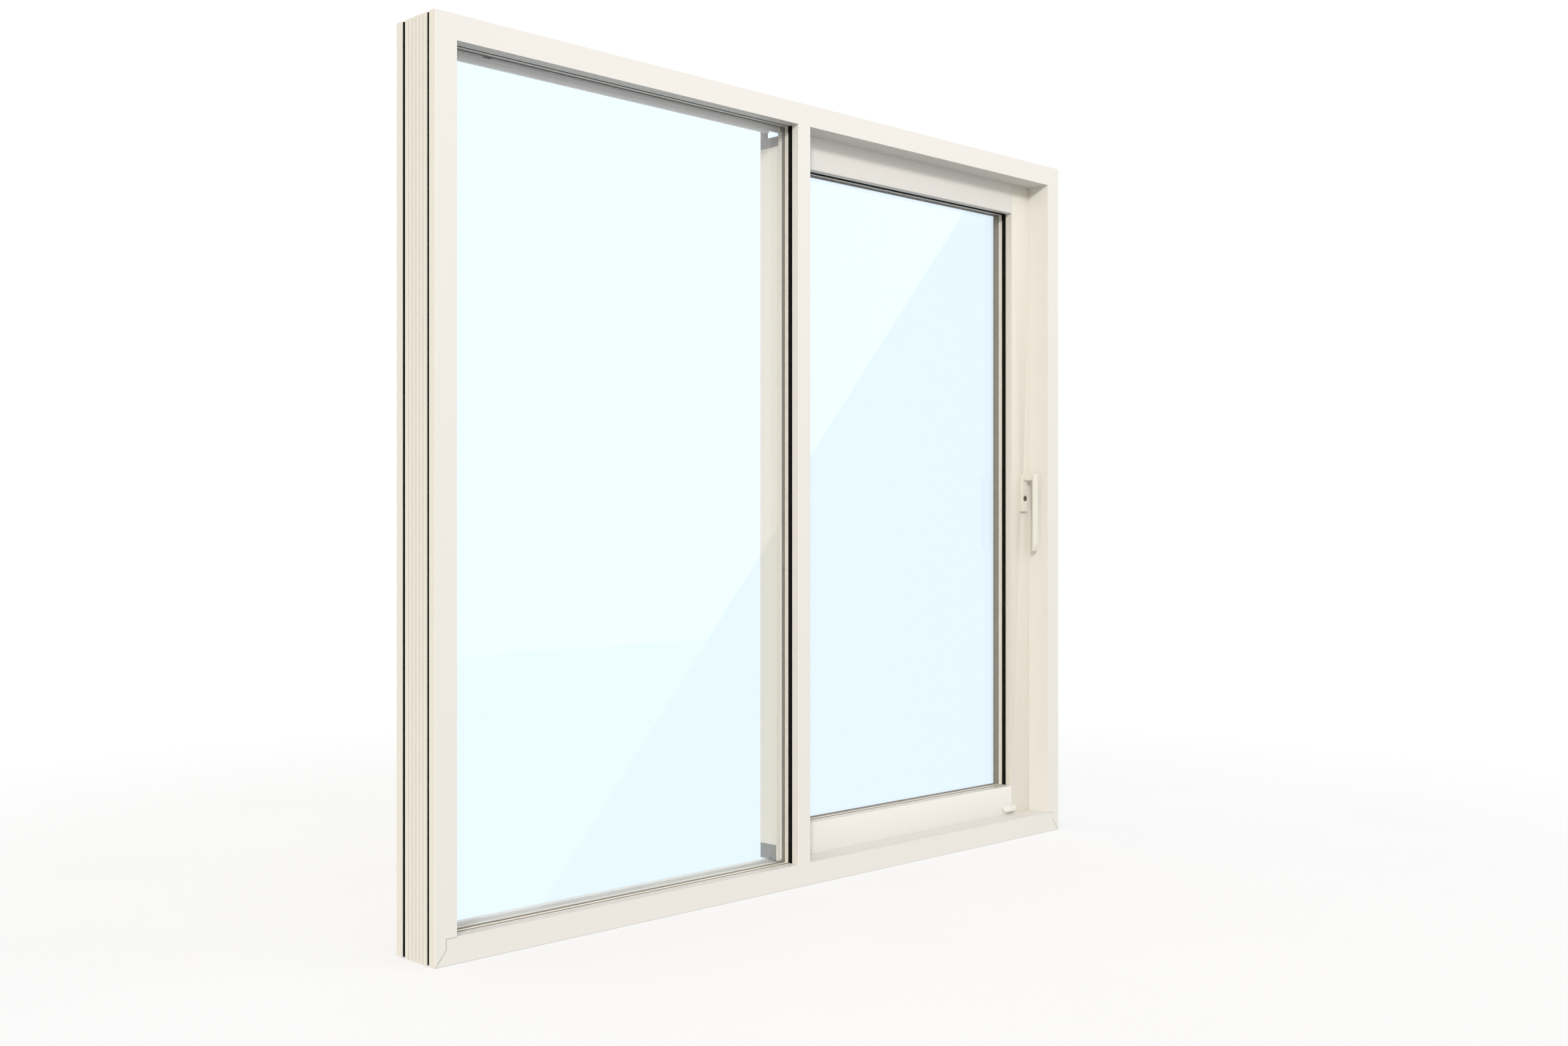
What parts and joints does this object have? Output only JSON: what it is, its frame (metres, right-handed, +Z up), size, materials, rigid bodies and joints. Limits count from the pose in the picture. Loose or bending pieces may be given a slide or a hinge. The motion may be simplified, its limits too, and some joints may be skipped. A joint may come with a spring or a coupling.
{
  "type": "sliding window",
  "caption": "Tall sliding window with a fixed light beside a lift-and-slide sash, lever handle and key cylinder, in an off-white frame.",
  "frame": {"origin": "middle of the footprint, on the underside of the sill", "axes": "+X to the right seen from the handle side, +Y into the wall away from the handle side, +Z up"},
  "size_m": [2.29, 0.154, 2.08],
  "materials": {
    "painted_frame": "off-white satin paint",
    "painted_sash": "off-white satin paint",
    "black_rubber": "matt",
    "dark_bead": "matt",
    "grey_seal": "matt",
    "glass": "clear",
    "spacer_metal": "satin",
    "aluminium": "satin anodised",
    "steel": "brushed",
    "handle_paint": "off-white powder coat",
    "cylinder_metal": "dark plated",
    "grey_plastic": "matt",
    "packer_plastic": "matt",
    "cap_plastic": "satin",
    "wheel_plastic": "matt"
  },
  "bodies": {
    "frame": {"sill_front_shell": "painted_frame", "head_front_shell": "painted_frame", "left_jamb_front_shell": "painted_frame", "right_jamb_front_shell": "painted_frame", "sill_core": "painted_frame", "head_core": "painted_frame", "left_jamb_core": "painted_frame", "right_jamb_core": "painted_frame", "sill_rear_shell": "painted_frame", "head_rear_shell": "painted_frame", "left_jamb_rear_shell": "painted_frame", "right_jamb_rear_shell": "painted_frame", "mullion": "painted_frame", "front_black_strip": "black_rubber", "rear_black_strip": "black_rubber", "fixed_front_gasket": "black_rubber", "fixed_rear_gasket": "black_rubber", "buffer_stop": "black_rubber", "fixed_glazing_beads": "dark_bead", "weather_seal": "grey_seal", "fixed_front_pane": "glass", "fixed_rear_pane": "glass", "fixed_edge_spacer": "spacer_metal", "track_plate": "aluminium", "head_guide": "aluminium", "mullion_interlock": "aluminium", "running_rail": "steel", "locking_pins": "steel", "fixed_glass_packers": "packer_plastic"},
    "carriages": {"front_carriage": "steel", "rear_carriage": "steel", "carriage_link": "steel", "wheel_axles": "steel"},
    "front_wheel": {"front_wheel": "wheel_plastic"},
    "rear_wheel": {"rear_wheel": "wheel_plastic"},
    "sash": {"sash_left_stile": "painted_sash", "sash_right_stile": "painted_sash", "sash_top_rail": "painted_sash", "sash_bottom_rail": "painted_sash", "sash_front_pane": "glass", "sash_rear_pane": "glass", "sash_edge_spacer": "spacer_metal", "sash_front_gasket": "black_rubber", "sash_rear_gasket": "black_rubber", "sash_glazing_beads": "dark_bead", "sash_glass_packers": "packer_plastic", "sash_interlock": "aluminium", "lower_draught_block": "grey_plastic", "upper_draught_block": "grey_plastic", "drain_cap": "cap_plastic", "lock_gearbox": "steel", "edge_face_plate": "steel", "handle_plate": "handle_paint", "handle_screw": "steel", "lock_cylinder": "cylinder_metal"},
    "lever": {"lever_handle": "handle_paint", "spindle": "steel"},
    "key_plug": {"cylinder_plug": "cylinder_metal"},
    "drive_rod": {"drive_rod": "steel"}
  },
  "joints": [
    {"name": "sash_slide", "type": "slide", "parent": "frame", "child": "carriages", "axis": [1, 0, 0], "range_m": [-0.92, 0]},
    {"name": "front_wheel_roll", "type": "hinge", "parent": "carriages", "child": "front_wheel", "pos_m": [0.9, 0.034, 0.0743], "axis": [0, 1, 0], "continuous": true},
    {"name": "rear_wheel_roll", "type": "hinge", "parent": "carriages", "child": "rear_wheel", "pos_m": [0.12, 0.034, 0.0743], "axis": [0, 1, 0], "continuous": true},
    {"name": "sash_lift", "type": "slide", "parent": "carriages", "child": "sash", "axis": [0, 0, 1], "range_m": [-0.005, 0]},
    {"name": "lever_turn", "type": "hinge", "parent": "sash", "child": "lever", "pos_m": [1.0535, -0.05, 1.106], "axis": [0, 1, 0], "range_deg": [0, 180]},
    {"name": "rod_slide", "type": "slide", "parent": "sash", "child": "drive_rod", "axis": [0, 0, 1], "range_m": [-0.02, 0]},
    {"name": "key_turn", "type": "hinge", "parent": "sash", "child": "key_plug", "pos_m": [1.0535, -0.016, 1.042], "axis": [0, 1, 0], "continuous": true}
  ],
  "couplings": [
    {"joint": "front_wheel_roll", "follows": "sash_slide", "rad_per_m": 66.667},
    {"joint": "rear_wheel_roll", "follows": "sash_slide", "rad_per_m": 66.667},
    {"joint": "lever_turn", "follows": "sash_lift", "rad_per_m": -628.3},
    {"joint": "rod_slide", "follows": "sash_lift", "ratio": 4}
  ]
}
